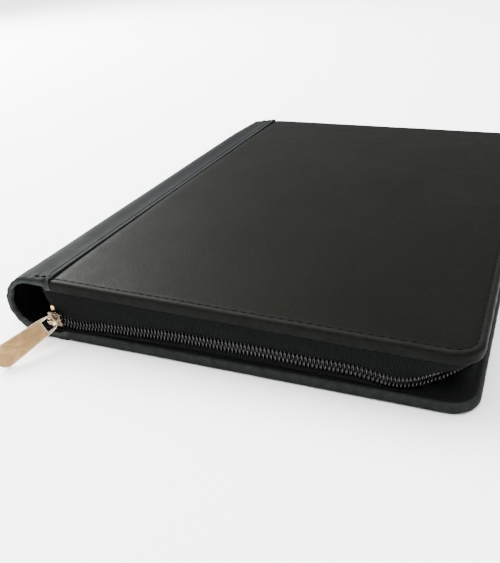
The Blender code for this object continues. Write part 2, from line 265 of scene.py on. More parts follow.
LEATHER = leather("cover_leather", (0.0008, 0.0008, 0.0005), (0.0018, 0.0018, 0.0012),
                  (0.018, 0.020, 0.019), 0.52, 0.022, (1.0, 1.0, 0.80))
# The spine leather is the cover leather painted lighter and cooler: a painted sheen standing in
# for the strip's reflection of the bright backdrop. Its paler worn colour also paints light on the
# lip that faces the lamp.
SPINE_LEATHER_SHEEN = leather("spine_leather", (0.0020, 0.0023, 0.0022), (0.0042, 0.0047, 0.0045),
                        (0.040, 0.046, 0.044), 0.62, 0.018, (0.94, 1.0, 0.98))
INNER_LEATHER = leather("inner_leather", (0.0016, 0.0016, 0.0015), (0.0036, 0.0036, 0.0033),
                        (0.018, 0.018, 0.017), 0.5, 0.04, (1.0, 1.0, 1.0))
TAPE = woven_tape("zip_tape")
COIL = nylon("zip_coil")
METAL = gilt("zip_gilt", (0.66, 0.39, 0.165), 0.34)
# The same gilt, darker, for the slider: painted shade for its plates, which turn away from the
# light.
METAL_SHADED = gilt("zip_gilt_painted_shade", (0.20, 0.14, 0.08), 0.36)
# A paler, glossier gilt for bevels, rims and narrow sides: a painted highlight for edges that
# catch the light.
METAL_EDGE_HIGHLIGHT = gilt("zip_gilt_painted_edge_highlight", (0.86, 0.72, 0.52), 0.22)
LINING = twill("lining", (0.0012, 0.0012, 0.0013), (0.0060, 0.0060, 0.0064))
BOARD = card("board")
THREAD = thread("thread")


# Making meshes.

def rough(points, scale, stretch=(1, 1, 1), seed=0.0):
    """Smooth noise from -1 to 1 at each point; scale is in metres."""
    flat = np.asarray(points).reshape(-1, 3) * np.array(stretch) / scale + seed
    values = [noise.noise(Vector(point)) for point in flat]
    return np.array(values).reshape(np.asarray(points).shape[:-1])


def bell(places, middle, wide):
    """1 at the middle, and falling off smoothly to both sides."""
    return np.exp(-(((places - middle) / wide) ** 2))


def lengths_along(points):
    """How far along a polyline each of its points lies."""
    return np.concatenate([[0], np.cumsum(np.linalg.norm(np.diff(points, axis=0), axis=1))])


def units(vectors):
    return vectors / np.linalg.norm(vectors, axis=1)[:, None]


def grid_faces(rows, columns):
    """The quads of a grid whose vertex (row, column) is number row * columns + column."""
    faces = []
    for row in range(rows - 1):
        for column in range(columns - 1):
            corner = row * columns + column
            faces.append((corner, corner + 1, corner + columns + 1, corner + columns))
    return faces


def flipped(faces):
    return [tuple(reversed(face)) for face in faces]


def tube_faces(first, stations, sides):
    """The faces of a closed tube: its rings of points follow each other, from number first on,
    and go round against the right-hand rule."""
    faces = [tuple(first + n for n in range(sides))]
    for row in range(stations - 1):
        for n in range(sides):
            m = (n + 1) % sides
            a = first + row * sides
            faces.append((a + n, a + sides + n, a + sides + m, a + m))
    last = first + (stations - 1) * sides
    faces.append(tuple(last + n for n in reversed(range(sides))))
    return faces


def normals_of(points, faces):
    mesh = bpy.data.meshes.new("scratch")
    mesh.from_pydata(points.tolist(), [], faces)
    mesh.update()
    values = np.zeros(len(points) * 3)
    mesh.vertices.foreach_get("normal", values)
    bpy.data.meshes.remove(mesh)
    return values.reshape(-1, 3)


def rim_edges(faces):
    """The directed edges that only one face has."""
    used = {}
    for face in faces:
        for start, end in zip(face, face[1:] + face[:1]):
            used[(start, end)] = True
    return [(start, end) for start, end in used if (end, start) not in used]


def between(outer, inner, faces):
    """The points and faces of a closed solid between two sides, from the outer side's faces."""
    count = len(outer)
    whole = faces + [tuple(count + n for n in face) for face in flipped(faces)]
    whole += [(end, start, start + count, end + count) for start, end in rim_edges(faces)]
    return np.concatenate([outer, inner]), whole


def finished(name, points, faces, finish, slot, sharp=40, wear_and_painted_light=None, uv=None):
    """A smooth-shaded piece from points and faces, in place, with its material; its slot is not
    used.
    """
    mesh = bpy.data.meshes.new(name)
    mesh.from_pydata([tuple(point) for point in points], [], faces)
    if wear_and_painted_light is not None:
        layer = mesh.attributes.new("wear_and_painted_light", "FLOAT", "POINT")
        layer.data.foreach_set("value", np.asarray(wear_and_painted_light, np.float32))
    if uv is not None:
        corners = np.zeros(len(mesh.loops), np.int32)
        mesh.loops.foreach_get("vertex_index", corners)
        layer = mesh.uv_layers.new(name="UVMap")
        layer.data.foreach_set("uv", np.asarray(uv, np.float32)[corners].ravel())
    mesh.shade_smooth()
    mesh.set_sharp_from_angle(angle=math.radians(sharp))
    mesh.materials.append(finish)
    mesh.update()
    made = bpy.data.objects.new(name, mesh)
    bpy.context.scene.collection.objects.link(made)
    return made


def sheet_solid(name, outer, faces, thickness, finish, slot, wear_and_painted_light=None, uv=None, sharp=40):
    """A closed sheet: its outer side as given, and its inner side a thickness behind."""
    outer = np.asarray(outer).reshape(-1, 3)
    inner = outer - normals_of(outer, faces) * thickness
    wear_and_painted_light = None if wear_and_painted_light is None else np.concatenate([wear_and_painted_light, wear_and_painted_light])
    uv = None if uv is None else np.concatenate([uv, uv])
    return finished(name, *between(outer, inner, faces), finish, slot, sharp, wear_and_painted_light, uv)


# The covers.

class Cover:
    """A cover's own axes: u from its hinge line to the fore edge, v along the spine,
    and depth in from its outer face."""

    def __init__(self, body, hinge, tilt, inward, edge_scale, wear_and_painted_light):
        self.body = body
        self.wear_and_painted_light = wear_and_painted_light
        self.along = np.array((math.cos(tilt), 0, -math.sin(tilt)))
        self.inward = np.array(inward)
        self.origin = np.array(hinge) - self.inward * PIVOT
        self.reach = (FORE - hinge.x) / math.cos(tilt)
        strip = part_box(f"{body}_leather")[0].x
        self.edge_scale = edge_scale
        self.seam = (strip - hinge.x) / math.cos(tilt)

    def at(self, u, v, depth):
        u, v, depth = (np.asarray(value, float)[..., None] for value in (u, v, depth))
        return self.origin + u * self.along + v * np.array((0, 1, 0)) + depth * self.inward


# Each cover's last number is how strongly its turned edges pale: partly real rubbing and partly
# painted light, set higher on the back cover so that its edge band shows as bright as it does lit.
BACK = Cover("back", BACK_HINGE, 0.0, (0, 0, 1), 0.88, 1.0)
FRONT = Cover("front", FRONT_HINGE, TILT, (-math.sin(TILT), 0, -math.cos(TILT)), 1.06, 0.32)

# How the leather goes over a cover's edge: inset from the edge and depth from the outer face.
STITCH_INSET = 3.9 * MM
STITCH_PITCH = 4.8 * MM
RIM = [
    (8.00, 0.00), (6.30, 0.00), (5.00, 0.05), (4.40, 0.20), (3.90, 0.42), (3.40, 0.22),
    (2.70, 0.02), (1.90, 0.02), (1.20, 0.24), (0.62, 0.62), (0.24, 1.20), (0.04, 2.00),
    (0.10, 3.10), (0.02, 4.20), (0.14, 5.20), (0.50, 5.95), (1.10, 6.30), (2.00, 6.25),
    (3.10, 5.95),
]
RIM_DEEP = max(deep for inset, deep in RIM)
LEATHER_THICK = 0.9 * MM
RESTING = 0.05 * MM       # the lowest that any leather lies
PANEL_STEP = 2.4 * MM
BOW = 1.1 * MM


def perimeter(cover, start):
    """The places of a panel's grid, and its rings: their centres, a corner radius in from
    its edge, and their ways out."""
    side, end = HALF - CORNER, cover.reach - CORNER
    across = np.linspace(start, end, int((end - start) / PANEL_STEP))
    down = np.linspace(-side, side, int(2 * side / PANEL_STEP))
    turn = np.radians(np.linspace(0, 90, 12)[1:-1])
    near = [((u, -side), (0, -1)) for u in across]
    near += [((end, -side), (math.sin(a), -math.cos(a))) for a in turn]
    fore = [((end, v), (1, 0)) for v in down]
    far = [((end, side), (math.cos(a), math.sin(a))) for a in turn]
    far += [((u, side), (0, 1)) for u in across[::-1]]
    centres, outs = (np.array(part) for part in zip(*near, *fore, *far))
    return across, down, centres, outs


def unevenness(cover, points, along, inset, depth):
    """How far a cover's leather stands in from its plain shape, on its face and round its rim."""
    bow = -BOW * (1 - (points[:, 1] / HALF) ** 2) if cover is FRONT else 0 * inset
    bow = bow * np.clip(inset / (20 * MM), 0, 1) ** 0.5
    soft = 0.20 * MM * rough(points, 34 * MM, seed=3.1)
    soft += 0.05 * MM * rough(points, 10 * MM, (1, 0.5, 1))
    turned = np.clip(depth / (2 * MM), 0, 1)
    creases = 0.22 * MM * rough(points, 3.4 * MM, (1, 1, 0.6), 7.7)
    creases += 0.16 * MM * rough(points, 9 * MM, (1, 1, 3), 1.3)
    pucker = 0.16 * MM * np.cos(along * 2 * math.pi / STITCH_PITCH)
    creases += pucker * np.clip(depth / (RIM_DEEP * MM), 0, 1)
    return bow + soft * (1 - turned), turned * creases


def panel(cover):
    """A cover's leather: crowned over the board, stitched near its edge, and turned in there."""
    start = cover.seam
    across, down, centres, outs = perimeter(cover, start)
    ring, rings, tall = len(centres), len(RIM), len(down)
    grid_start = ring * rings
    rim_inset, rim_depth = np.array(RIM[::-1]).T[..., None]
    spots = centres + outs * (CORNER - rim_inset * MM)[..., None]
    grid_u, grid_v = np.meshgrid(across, down, indexing="ij")
    edge = np.minimum(HALF - np.abs(grid_v), cover.reach - grid_u)

    def both(ringed, gridded):
        """Values for the rings' points, one ring after another, and then for the grid's."""
        parts = (ringed, (rings, ring)), (gridded, grid_u.shape)
        return np.concatenate([np.broadcast_to(part, shape).ravel() for part, shape in parts])

    u, v = both(spots[..., 0], grid_u), both(spots[..., 1], grid_v)
    inset = both(rim_inset * MM, edge)
    depth = both(rim_depth * cover.edge_scale * MM, 0.0)
    along = both(lengths_along(centres + outs * CORNER), 0.0)

    tuck = 0.6 * MM * bell(u, start, 2.2 * MM) * (depth < 1.5 * MM)
    flat = cover.at(u, v, depth)
    raise_top, crease = unevenness(cover, flat, along, inset, depth)
    outward = np.zeros((len(u), 2))
    outward[:grid_start] = np.tile(outs, (rings, 1))
    points = cover.at(u + outward[:, 0] * crease, v + outward[:, 1] * crease,
                      depth + raise_top * (depth < 3 * MM) + tuck)

    def grid_number(centre):
        i = int(np.argmin(np.abs(across - centre[0])))
        j = int(np.argmin(np.abs(down - centre[1])))
        return grid_start + i * tall + j

    faces = grid_faces(rings, ring)
    inner = [grid_number(centre) for centre in centres]
    last = grid_start - ring
    for n in range(ring - 1):
        face = [last + n, last + n + 1, inner[n + 1], inner[n]]
        if inner[n] == inner[n + 1]:
            face.pop()
        faces.append(tuple(face))
    for a, b, c, d in grid_faces(len(across), tall):
        faces.append(tuple(grid_start + n for n in (a, d, c, b)))
    if cover is BACK:
        faces = flipped(faces)
    # Paler down the turned edge and on the band by the stitches: partly rubbing, partly a painted
    # highlight on the lit arris and edge band.
    wear_and_painted_light = np.interp(depth, [0, 1 * MM, 2.5 * MM], [0.0, 0.75, 0.95])
    wear_and_painted_light = np.maximum(wear_and_painted_light, 0.55 * (inset < 3.2 * MM)) * cover.wear_and_painted_light
    points[:, 2] = np.maximum(points[:, 2], RESTING)
    name = f"{cover.body}_cover_leather"
    made = sheet_solid(name, points, faces, LEATHER_THICK, LEATHER, "leather", wear_and_painted_light)
    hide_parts(f"{cover.body}_leather")
    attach(made, cover.body)
    return made


# Stitches.

def threads(cover, name, lines, pitch, out, long=3.3 * MM, thick=0.30 * MM):
    """Stitches along lines on a cover: each a short thread whose two ends go into the leather."""
    points, faces = [], []
    stations = [(-1.0, 0.3), (-0.82, 0.8), (-0.4, 1.0), (0.4, 1.0), (0.82, 0.8), (1.0, 0.3)]
    sides = 6
    for middle, along in (place for line in lines for place in along_route(line, pitch)):
        across = np.cross(along, out)
        faces += tube_faces(len(points), len(stations), sides)
        for share, size in stations:
            ring = middle + along * share * long / 2 - out * 0.34 * MM * share ** 4
            for n in range(sides):
                angle = 2 * math.pi * n / sides
                reach = across * math.cos(angle) + out * math.sin(angle)
                points.append(ring + reach * thick * size)
    made = finished(name, points, faces, THREAD, "leather", 60)
    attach(made, cover.body)


def along_route(points, step):
    """Even places along a polyline, and the direction at each."""
    points = np.asarray(points, float)
    travelled = lengths_along(points)
    wanted = np.arange(step / 2, travelled[-1] - step / 3, step)
    spots = np.stack([np.interp(wanted, travelled, points[:, n]) for n in range(3)], 1)
    ahead = np.stack([np.interp(wanted + 0.2 * MM, travelled, points[:, n]) for n in range(3)], 1)
    return list(zip(spots, units(ahead - spots)))


def cover_stitches(cover):
    """The stitch line round a cover's three free edges."""
    centres, outs = perimeter(cover, cover.seam + 1.5 * MM)[2:]
    route = centres + outs * (CORNER - STITCH_INSET)
    flat = cover.at(route[:, 0], route[:, 1], np.zeros(len(route)))
    inset = np.full(len(route), STITCH_INSET)
    raised = unevenness(cover, flat, 0 * inset, inset, 0 * inset)[0]
    line = cover.at(route[:, 0], route[:, 1], 0.30 * MM + raised)
    threads(cover, f"{cover.body}_cover_stitches", [line], STITCH_PITCH, -cover.inward)


# The spine leather, in one bend from seam to seam.

BEND = HEIGHT / 2
BEND_X = SPINE_X + BEND
SPLIT_EDGE = 0.2 * MM
SPINE_STEP = 2.6 * MM      # between the rows of points along the spine


def bend_point(angle):
    """A point on the outside of the spine; the angle runs from 90 degrees on top to 270 below."""
    drop = 0.5 * MM * np.sin(np.radians(angle)) ** 2
    lift = 1.0 * MM * bell(angle, 238, 24)
    radius = BEND - drop - lift
    x = BEND_X + radius * np.cos(np.radians(angle))
    return np.stack([x, HEIGHT / 2 + radius * np.sin(np.radians(angle))], -1)


def spine_section():
    """The spine's outline from the front seam to the back one.

    Returns its x, z points, its inward directions, the distance from the nearer seam,
    and the index of each mid-slat point, from slat 4 down to slat 1.
    """
    seam_steps = np.concatenate([np.linspace(0, 5, 26), np.linspace(5, 13, 9)[1:]]) * MM
    top = FRONT.at(FRONT.seam, 0, 0.0)[[0, 2]]
    low = BACK.at(BACK.seam, 0, 0.0)[[0, 2]]
    slat_angles = []
    for n in (4, 3, 2, 1):
        middle = (HINGES[n - 1] + HINGES[n]) / 2
        angle = math.degrees(math.atan2(middle.z - HEIGHT / 2, middle.x - BEND_X)) % 360
        slat_angles.append(angle)
    near = math.degrees(SPLIT_EDGE / BEND)
    angles = set(np.linspace(90, 270, 49))
    for angle in slat_angles:
        angles = {other for other in angles if abs(other - angle) > 1.2}
        angles |= {angle - near, angle, angle + near}
    angles = np.array(sorted(angles))
    curve = bend_point(angles)
    front_way = (curve[0] - top) / np.linalg.norm(curve[0] - top)
    back_way = (curve[-1] - low) / np.linalg.norm(curve[-1] - low)
    front_part = top + seam_steps[:, None] * front_way
    back_part = (low + seam_steps[:, None] * back_way)[::-1]
    section = np.concatenate([front_part, curve, back_part])
    ways = units(np.gradient(section, axis=0))
    inward = np.stack([-ways[:, 1], ways[:, 0]], -1)
    far = np.full(len(section), 1.0)
    far[:len(seam_steps)] = seam_steps
    far[-len(seam_steps):] = seam_steps[::-1]
    splits = [len(seam_steps) + int(np.argmin(np.abs(angles - a))) for a in slat_angles]
    return section, inward, far, splits


SECTION, SECTION_IN, SEAM_FAR, SPLITS = spine_section()
PARTS = list(zip([0] + SPLITS, SPLITS + [len(SECTION) - 1]))
SECTION_LONG = lengths_along(SECTION)
FOLDS = [("spine_4", "front", 5), ("spine_3", "spine_4", 4), ("spine_2", "spine_3", 3),
         ("spine_1", "spine_2", 2), ("back", "spine_1", 1)]


def bend_over(made):
    """Bakes a spine piece's transform into its mesh."""
    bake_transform(made)


RIDGE = 0.9 * MM            # from the seam to the top of its folded edge
SEAM_STITCHES = 3.4 * MM    # from the seam to its stitches


def seam_shape(far):
    """A strip's folded edge, which laps over its cover, and its stitches' groove, as depth."""
    places = [0.0, 0.25, 0.5, 0.75, 1.1, 2.6, 3.0, 3.4, 3.8, 4.4, 7.0, 10.0]
    depths = [1.40, 0.60, -0.50, -1.00, -1.15, -0.95, -0.80, -0.30, -0.70, -0.72, -0.30, 0.0]
    return np.interp(far / MM, places, depths) * MM


def lip_depth(count):
    """How deep the turned-in leather goes along the section: a cover's edge at both seams."""
    share = np.linspace(0, 1, count)
    return np.interp(share, [0, 0.16, 0.20, 0.30, 0.50, 0.74, 0.84, 1.0],
                     [6.7, 6.9, 4.2, 3.6, 2.9, 2.6, 4.6, 5.5]) * MM


def press_in(points, amount):
    """Moves each point of the spine's rows inward."""
    points[:, :, 0] += SECTION_IN[:, None, 0] * amount
    points[:, :, 2] += SECTION_IN[:, None, 1] * amount


# What each bend of the spine leather stands for.
BEND_NODES = {1: ["spine_leather_1", "back_spine_strip"], 2: ["spine_leather_2"],
              3: ["spine_leather_3"], 4: ["spine_leather_4"], 5: ["front_spine_strip"]}


def spine_leather():
    """The spine's leather, split at the middle of each slat into one piece across each hinge."""
    count = len(SECTION)
    lips = [[(side, inset * MM, deep / RIM_DEEP) for inset, deep in RIM[1:]] for side in (1, -1)]
    body_end = HALF - 10 * MM
    body = np.linspace(body_end, -body_end, int(2 * body_end / SPINE_STEP))
    lip = lip_depth(count)
    away = np.minimum(SECTION_LONG, SECTION_LONG[-1] - SECTION_LONG)
    softened = np.clip((away - 8 * MM) / (14 * MM), 0, 1)
    stations = lips[0][::-1] + [(0, y, 0.0) for y in body] + lips[1]
    points = np.zeros((count, len(stations), 3))
    wear_and_painted_light = np.zeros((count, len(stations)))
    # On the seam's folded edge: a painted highlight along its rounded top and painted shade on its
    # steep side, which faces away from the lamp. The rest of the strip pales faintly, as part of
    # its painted sheen.
    ridge_highlight = bell(SEAM_FAR, RIDGE, 0.35 * MM)
    flank_shade = SEAM_FAR < RIDGE - 0.3 * MM
    for n, (side, place, share) in enumerate(stations):
        depth = lip * share if side else np.zeros(count)
        flat = SECTION + SECTION_IN * (depth + seam_shape(SEAM_FAR) * (1 - share))[:, None]
        points[:, n, 0] = flat[:, 0]
        points[:, n, 2] = flat[:, 1]
        points[:, n, 1] = side * (HALF - place) if side else place
        wear_and_painted_light[:, n] = np.maximum(share, np.where(flank_shade, 0.0, 0.03 + 0.80 * ridge_highlight))
    shape = rough(points, 26 * MM, (1, 0.5, 1), 5.0) * 0.28 * MM
    shape += rough(points, 7 * MM, (1, 0.8, 1), 2.0) * 0.07 * MM
    shape *= np.clip(SEAM_FAR / (6 * MM), 0, 1)[:, None]
    inset = HALF - np.abs(points[:, :, 1])
    mouth = bell(inset, 0, 9 * MM) * softened[:, None]
    gather = rough(points, 3.2 * MM, (1, 0.5, 1), 9.0) * 1.0 * MM * mouth
    drawn = bell(inset, STITCH_INSET, 2.2 * MM) * (1 - softened[:, None])
    gather += 0.28 * MM * np.cos(2 * math.pi * away[:, None] / STITCH_PITCH) * drawn
    gather += 0.30 * MM * rough(points, 2.6 * MM, (1, 1, 1), 2.5) * drawn
    far_end = bell(HALF - points[:, :, 1], 0, 26 * MM) * softened[:, None]
    press_in(points, shape + gather + 1.1 * MM * far_end)
    turned = np.array([share for side, place, share in stations])
    ends = np.array([side for side, place, share in stations])
    crease = rough(points, 4.0 * MM, (1, 1, 1), 4.0) * 0.30 * MM * (turned > 0.15)
    points[:, :, 1] += crease * ends
    points[:, :, 2] = np.maximum(points[:, :, 2], RESTING)
    wide = len(stations)
    for (start, end), fold in zip(PARTS, FOLDS):
        part = points[start:end + 1].reshape(-1, 3)
        number = fold[2]
        faces = flipped(grid_faces(end - start + 1, wide))
        made = sheet_solid(f"spine_leather_bend_{number}", part, faces, LEATHER_THICK,
                           SPINE_LEATHER_SHEEN, "leather", wear_and_painted_light[start:end + 1].ravel(), sharp=50)
        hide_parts(*BEND_NODES[number])
        bend_over(made)


def spine_lining():
    """The lining behind the spine leather, which rises onto each cover's lining."""
    onto = FRONT.seam - 9 * MM
    from_back = SECTION_LONG[-1] - SECTION_LONG - (BACK.seam - FRONT.seam)
    away = np.minimum(SECTION_LONG, from_back)
    chosen = np.flatnonzero(away > onto)
    rise = np.clip((away - onto) / (16 * MM), 0, 1)
    rise = rise * rise * (3 - 2 * rise)
    depth = (6.0 * (1 - rise) + 2.3 * rise) * MM
    stations = np.linspace(HALF - 9 * MM, 9 * MM - HALF, 110)
    middle = SECTION + SECTION_IN * depth[:, None]
    points = np.zeros((len(SECTION), len(stations), 3))
    points[:, :, 0] = middle[:, None, 0]
    points[:, :, 1] = stations[None, :]
    points[:, :, 2] = middle[:, None, 1]
    ripple = rough(points, 11 * MM, (1, 0.35, 1), 6.0) * 0.35 * MM
    press_in(points, np.abs(ripple))
    wide = len(stations)
    for (start, end), fold in zip(PARTS, FOLDS):
        start, end = max(start, chosen[0]), min(end, chosen[-1])
        part = points[start:end + 1].reshape(-1, 3)
        number = fold[2]
        made = sheet_solid(f"spine_lining_bend_{number}", part, grid_faces(end - start + 1, wide),
                           0.5 * MM, LINING, "lining", sharp=50)
        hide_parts(f"spine_lining_{min(number, 4)}")
        bend_over(made)


def strip_stitches(cover):
    """The stitches across each end of the strip beside the seam, and those along the seam."""
    strip_top = 0.6 * MM if cover is BACK else -BOW
    for side, end in ((-1, "near"), (1, "far")):
        far = np.linspace(3.6, 16.6, 20) * MM
        line = cover.at(cover.seam - far, np.full(20, side * (HALF - STITCH_INSET)),
                        np.maximum(seam_shape(far) + 0.25 * MM, strip_top))
        threads(cover, f"{cover.body}_strip_stitches_{end}", [line], STITCH_PITCH, -cover.inward,
                3.4 * MM, 0.5 * MM)
    place = cover.seam - SEAM_STITCHES
    ends = np.array([1, -1]) * (HALF - 6 * MM)
    line = cover.at(np.full(2, place), ends, np.full(2, max(-0.42 * MM, strip_top)))
    threads(cover, f"{cover.body}_seam_stitches", [line], 3.2 * MM, -cover.inward,
            2.5 * MM, 0.25 * MM)


# The zip. Its route runs along the near side, the fore edge and the far side.

def zip_route():
    radius = CORNER - ZIP_INSET
    x, y = FORE - CORNER, HALF - CORNER
    near = [((place, -y - radius), (0, -1)) for place in np.linspace(TAPE_START, x, 60)]
    turn = np.radians(np.linspace(0, 90, 24)[1:-1])
    near += [((x + radius * math.sin(a), -y - radius * math.cos(a)), (math.sin(a), -math.cos(a)))
             for a in turn]
    fore = [((x + radius, place), (1, 0)) for place in np.linspace(-y, y, 60)]
    fore += [((x + radius * math.cos(a), y + radius * math.sin(a)), (math.cos(a), math.sin(a)))
             for a in turn]
    far = [((place, y + radius), (0, 1)) for place in np.linspace(x, TAPE_START, 60)]
    spots = np.array([spot for spot, out in near + fore + far])
    outs = np.array([out for spot, out in near + fore + far])
    return lengths_along(spots), spots, outs


ROUTE, ROUTE_SPOTS, ROUTE_OUTS = zip_route()
ROUTE_LONG = ROUTE[-1]

# Where the zip sags or rises: distance from its near end, how wide, and how far up.
SAGS = [(0.000, 0.005, 1.8), (0.0205, 0.016, -3.4), (0.050, 0.028, -1.6), (0.125, 0.026, 0.5),
        (0.160, 0.018, -1.0), (0.203, 0.020, -4.2), (0.330, 0.050, -1.6), (0.450, 0.040, 0.8),
        (0.640, 0.050, -1.8), (0.740, 0.030, 0.6)]
SWAY = 0.5 * MM
CUT_RADIUS = 40 * MM     # the coils' own curve at a corner, wider than the cover's


def rise(distance):
    """How far the zip's middle stands above its straight line."""
    return sum(up * MM * bell(distance, place, wide) for place, wide, up in SAGS)


def on_route(distance, out, height):
    """Points beside the zip's route, at distances along it, offsets out and heights."""
    x = np.interp(distance, ROUTE, ROUTE_SPOTS[:, 0])
    y = np.interp(distance, ROUTE, ROUTE_SPOTS[:, 1])
    out_x = np.interp(distance, ROUTE, ROUTE_OUTS[:, 0])
    out_y = np.interp(distance, ROUTE, ROUTE_OUTS[:, 1])
    return np.stack([x + out * out_x, y + out * out_y, height], -1)


def sway(distance):
    """How far the coils wander out and in."""
    calm = 1 - bell(distance, 0, 30 * MM)
    return SWAY * calm * np.sin(distance / (17 * MM) + 0.6)


def corner_cut(distance):
    """How the coils leave their route at its two corners, to turn in a wider curve."""
    radius = CORNER - ZIP_INSET
    fore, side = FORE - ZIP_INSET, HALF - ZIP_INSET
    arc = radius * math.pi / 2
    first = fore - radius - TAPE_START
    middles = (first + arc / 2, first + arc * 1.5 + 2 * (side - radius))
    half_zone = CUT_RADIUS - radius + arc / 2
    plain = on_route(distance, 0 * distance, 0 * distance)
    moved = np.zeros_like(plain)
    for middle, sign in zip(middles, (-1, 1)):
        share = (distance - middle) / (2 * half_zone) + 0.5
        angle = np.clip(share, 0, 1) * math.pi / 2
        inner = np.zeros_like(plain)
        lengthwise = np.sin(angle) if sign < 0 else np.cos(angle)
        crosswise = np.cos(angle) if sign < 0 else np.sin(angle)
        inner[..., 0] = fore - CUT_RADIUS + CUT_RADIUS * lengthwise
        inner[..., 1] = sign * (side - CUT_RADIUS + CUT_RADIUS * crosswise)
        inside_zone = ((share > 0) & (share < 1))[..., None]
        moved += np.where(inside_zone, inner - plain, 0)
    return moved


def under_front(x):
    """The height of the front cover's inner face."""
    inner = FRONT_HINGE.z - (COVER - PIVOT) / math.cos(TILT)
    return inner - (x - FRONT_HINGE.x) * math.tan(TILT)


TAPE_THICK = 0.6 * MM
TAPE_ROWS = 11
TAPE_STEP = 1.5 * MM


def tape(body, upper):
    """A woven tape from a cover down or up to its coil, bulging where the zip sags."""
    distance = np.linspace(0, ROUTE_LONG, int(ROUTE_LONG / TAPE_STEP))
    share = np.linspace(0, 1, TAPE_ROWS)
    along, part = np.meshgrid(distance, share, indexing="ij")
    ends = 5.5 * MM if upper else 1.0 * MM
    slant = ends * part * (np.exp(-along / (4 * MM)) - np.exp(-(ROUTE_LONG - along) / (4 * MM)))
    along = np.clip(along + slant, 0, ROUTE_LONG)
    spot_x = np.interp(along, ROUTE, ROUTE_SPOTS[:, 0])
    lift = rise(along)
    if upper:
        start, end = under_front(spot_x) + 0.3 * MM, COIL_HIGH + lift - 0.2 * MM
        slack = np.clip(lift, 0, 1) * 0.5 + 1.1 * MM
    else:
        start, end = COVER - 0.1 * MM + 0 * along, COIL_LOW + lift + 0.2 * MM
        slack = 0.3 * MM + np.clip(-lift, 0, 1) * 0.5
    height = start + (end - start) * part
    points = on_route(along, 0 * along, height)
    belly = np.sin(part * math.pi)
    ripple = rough(points, 17 * MM, (1, 1, 0.5), 8.0 if upper else 12.0)
    out = sway(along) * part + belly * (slack * (0.55 if upper else 1.0) + 0.8 * MM * ripple)
    reach_in = part ** 2.5 if upper else part ** 0.8
    points = on_route(along, out, height) + corner_cut(along) * reach_in[..., None]
    tall = np.cumsum(np.linalg.norm(np.diff(points, axis=1), axis=2), axis=1)
    tall = np.concatenate([np.zeros((len(distance), 1)), tall], axis=1)
    uv = np.stack([along.ravel(), tall.ravel()], -1)
    faces = grid_faces(len(distance), TAPE_ROWS)
    if not upper:
        faces = flipped(faces)
    made = sheet_solid(f"{body}_tape", points, faces, TAPE_THICK, TAPE, "zip_tape", uv=uv,
                       sharp=60)
    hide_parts(f"{body}_zip_tape")
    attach(made, body)


TOOTH_PITCH = 2.1 * MM
FILAMENT = 0.40 * MM
COIL_HALF_THICK = 0.62 * MM
COIL_SPREAD = 0.5 * MM      # how far each coil's turns stand past its CAD solid
HEAD = 0.45 * MM

# One turn of a coil: share of the pitch, share of the way to the head, share of the thickness.
TURN = [(0.00, 0.02, 0.95), (0.03, 0.45, 1.05), (0.06, 0.88, 0.95), (0.18, 1.00, 0.0),
        (0.30, 0.88, -0.95), (0.50, 0.45, -1.05), (0.70, 0.02, -0.95), (0.85, -0.10, 0.0)]


def coil(body, upper):
    """A flattened coil of filament, whose turns reach between those of the other coil."""
    first = COIL_START - TAPE_START + 0.4 * MM
    turns = int((ROUTE_LONG - 2 * first) / TOOTH_PITCH)
    outer = COIL_HIGH - FILAMENT + COIL_SPREAD if upper else COIL_LOW + FILAMENT - COIL_SPREAD
    head = ZIP_MIDDLE - HEAD if upper else ZIP_MIDDLE + HEAD
    offset = 0.5 if upper else 0.0
    step, reach, side = np.tile(TURN, (turns, 1)).T
    turn = np.repeat(np.arange(turns), len(TURN))
    distance = first + (turn + offset + step) * TOOTH_PITCH
    out = side * COIL_HALF_THICK + sway(distance)
    height = outer + (head - outer) * reach + rise(distance)
    line = on_route(distance, out, height) + corner_cut(distance)
    sides = 6
    ways = units(np.gradient(line, axis=0))
    middle = on_route(distance, 0 * distance, 0 * distance) + corner_cut(distance)
    along = np.gradient(middle, axis=0)
    along /= np.linalg.norm(along, axis=1)[:, None] + 1e-9
    across = units(np.cross(ways, along + np.array((0, 0, 0.01))))
    over = np.cross(across, ways)
    angles = np.linspace(0, 2 * math.pi, sides, endpoint=False)[:, None]
    reach = np.cos(angles) * across[:, None] + np.sin(angles) * over[:, None]
    rings = line[:, None] + FILAMENT * reach
    faces = tube_faces(0, len(line), sides)
    made = finished(f"{body}_coil", rings.reshape(-1, 3), faces, COIL, "zip_coil", 80)
    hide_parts(f"{body}_zip_coil")
    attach(made, body)


# Small metal parts, from outlines.

def in_mm(points):
    return [(x * MM, z * MM) for x, z in points]


def both_sides(half):
    """A closed outline, from its upper half and that half mirrored."""
    return in_mm(half + [(x, -z) for x, z in reversed(half)])


def rounded(corners, radius, steps=4):
    """A polygon's points with each corner rounded off."""
    made = []
    count = len(corners)
    for n, corner in enumerate(corners):
        corner = Vector(corner)
        before = (Vector(corners[n - 1]) - corner)
        after = (Vector(corners[(n + 1) % count]) - corner)
        reach = min(radius, before.length * 0.45, after.length * 0.45)
        start = corner + before.normalized() * reach
        end = corner + after.normalized() * reach
        for step in range(steps + 1):
            t = step / steps
            made.append(start * (1 - t) ** 2 + corner * 2 * t * (1 - t) + end * t ** 2)
    return made


